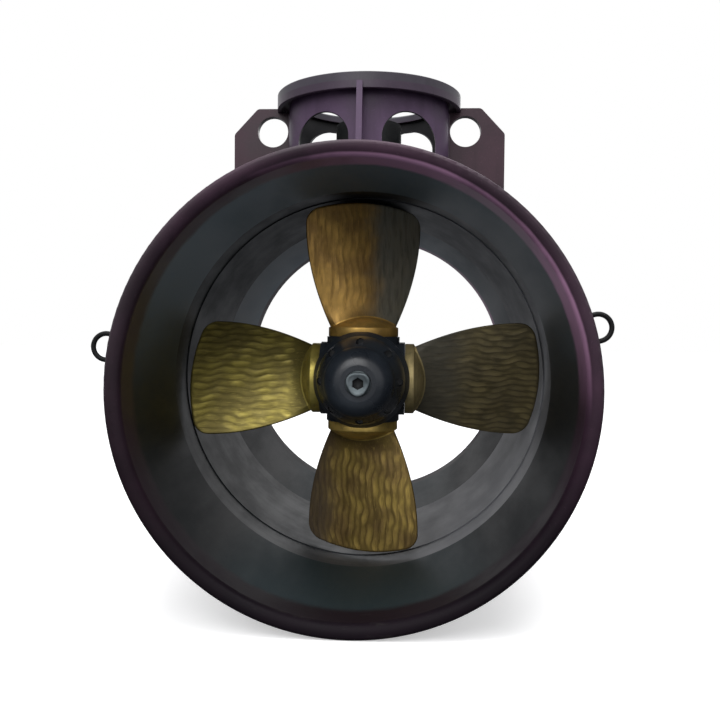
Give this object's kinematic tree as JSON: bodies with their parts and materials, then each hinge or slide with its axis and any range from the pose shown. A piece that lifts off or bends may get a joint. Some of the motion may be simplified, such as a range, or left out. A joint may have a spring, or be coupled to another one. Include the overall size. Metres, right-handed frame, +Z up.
{
  "type": "tunnel bow thruster",
  "caption": "Round steel tunnel section with a controllable-pitch bronze propeller on a geared leg, a motor pedestal above and two lifting ears.",
  "frame": {"origin": "where the tunnel centre line meets the vertical drive line", "axes": "+Y along the tunnel, from the propeller side towards the gear pod's tail; +Z up the drive line towards the motor flange; +X to the right seen from the propeller side"},
  "size_m": [1.1214, 1.685, 1.3659],
  "materials": {
    "hull_paint": "purple-charcoal primer outside, glossy dark slate coating inside",
    "machine_paint": "satin blue-grey machine paint",
    "leg_casting": "dark epoxy over casting",
    "black_rod": "black paint on bent rod",
    "hub_casting": "dark navy enamel",
    "bright_steel": "machined",
    "hard_steel": "ground, oiled",
    "seal_rubber": "matt",
    "propeller_bronze": "milled bronze with ripples",
    "anode_alloy": "as cast"
  },
  "bodies": {
    "tunnel": {"front_bell_rim": "hull_paint", "rear_bell_rim": "hull_paint", "front_tunnel_shell": "hull_paint", "rear_tunnel_shell": "hull_paint", "propeller_liner": "hull_paint", "leg_seat_collar": "hull_paint", "pedestal_drum": "hull_paint", "motor_flange": "machine_paint", "pedestal_gussets": "hull_paint", "left_lifting_ear": "hull_paint", "right_lifting_ear": "hull_paint", "left_lashing_loop": "black_rod", "right_lashing_loop": "black_rod", "gear_leg": "leg_casting", "leg_gasket": "seal_rubber", "input_bearing_housing": "machine_paint", "leg_fasteners": "bright_steel", "pod_tail_cover": "leg_casting", "tail_cover_screws": "bright_steel", "shaft_seal_housing": "leg_casting", "shaft_lip_seals": "seal_rubber", "rope_guard": "leg_casting", "front_bearing_race": "hard_steel", "rear_bearing_race": "hard_steel", "pinion_bearing_race": "hard_steel", "input_bearing_race": "hard_steel", "input_shaft_seal": "seal_rubber", "input_seal_cover": "machine_paint", "oil_pipes": "bright_steel", "leg_anodes": "anode_alloy", "drain_plug": "bright_steel"},
    "propeller": {"propeller_shaft": "bright_steel", "shaft_nut": "bright_steel", "crown_wheel": "hard_steel", "propeller_shaft_rollers": "hard_steel", "hub_body": "hub_casting", "hub_screws": "bright_steel", "servo_cylinder_head": "bright_steel", "hub_nose": "hub_casting", "nose_plug": "bright_steel"},
    "pitch_rod": {"crosshead": "hard_steel", "servo_piston": "bright_steel", "piston_seal": "seal_rubber"},
    "input_drive": {"input_shaft": "bright_steel", "bevel_pinion": "hard_steel", "input_shaft_rollers": "hard_steel", "drive_coupling": "hard_steel"},
    "blade_1": {"blade_1": "propeller_bronze", "crank_ring_1": "hard_steel", "blade_1_screws": "bright_steel"},
    "blade_2": {"blade_2": "propeller_bronze", "crank_ring_2": "hard_steel", "blade_2_screws": "bright_steel"},
    "blade_3": {"blade_3": "propeller_bronze", "crank_ring_3": "hard_steel", "blade_3_screws": "bright_steel"},
    "blade_4": {"blade_4": "propeller_bronze", "crank_ring_4": "hard_steel", "blade_4_screws": "bright_steel"}
  },
  "joints": [
    {"name": "propeller_spin", "type": "hinge", "parent": "tunnel", "child": "propeller", "pos_m": [0, 0, 0], "axis": [0, 1, 0], "continuous": true},
    {"name": "input_shaft_spin", "type": "hinge", "parent": "tunnel", "child": "input_drive", "pos_m": [0, 0, 0], "axis": [0, 0, 1], "continuous": true},
    {"name": "blade_1_pitch", "type": "hinge", "parent": "propeller", "child": "blade_1", "pos_m": [0, -0.215, 0], "axis": [0, 0, 1], "range_deg": [-47, 3]},
    {"name": "blade_2_pitch", "type": "hinge", "parent": "propeller", "child": "blade_2", "pos_m": [0, -0.215, 0], "axis": [1, 0, 0], "range_deg": [-47, 3]},
    {"name": "blade_3_pitch", "type": "hinge", "parent": "propeller", "child": "blade_3", "pos_m": [0, -0.215, 0], "axis": [0, 0, -1], "range_deg": [-47, 3]},
    {"name": "blade_4_pitch", "type": "hinge", "parent": "propeller", "child": "blade_4", "pos_m": [0, -0.215, 0], "axis": [-1, 0, 0], "range_deg": [-47, 3]},
    {"name": "pitch_rod_slide", "type": "slide", "parent": "propeller", "child": "pitch_rod", "axis": [0, 1, 0], "range_m": [-0.0365, 0.0025]}
  ],
  "couplings": [
    {"joint": "input_shaft_spin", "follows": "propeller_spin", "ratio": -1.8824},
    {"joint": "blade_2_pitch", "follows": "blade_1_pitch", "ratio": 1},
    {"joint": "blade_3_pitch", "follows": "blade_1_pitch", "ratio": 1},
    {"joint": "blade_4_pitch", "follows": "blade_1_pitch", "ratio": 1},
    {"joint": "pitch_rod_slide", "follows": "blade_1_pitch", "m_per_rad": 0.0437}
  ]
}
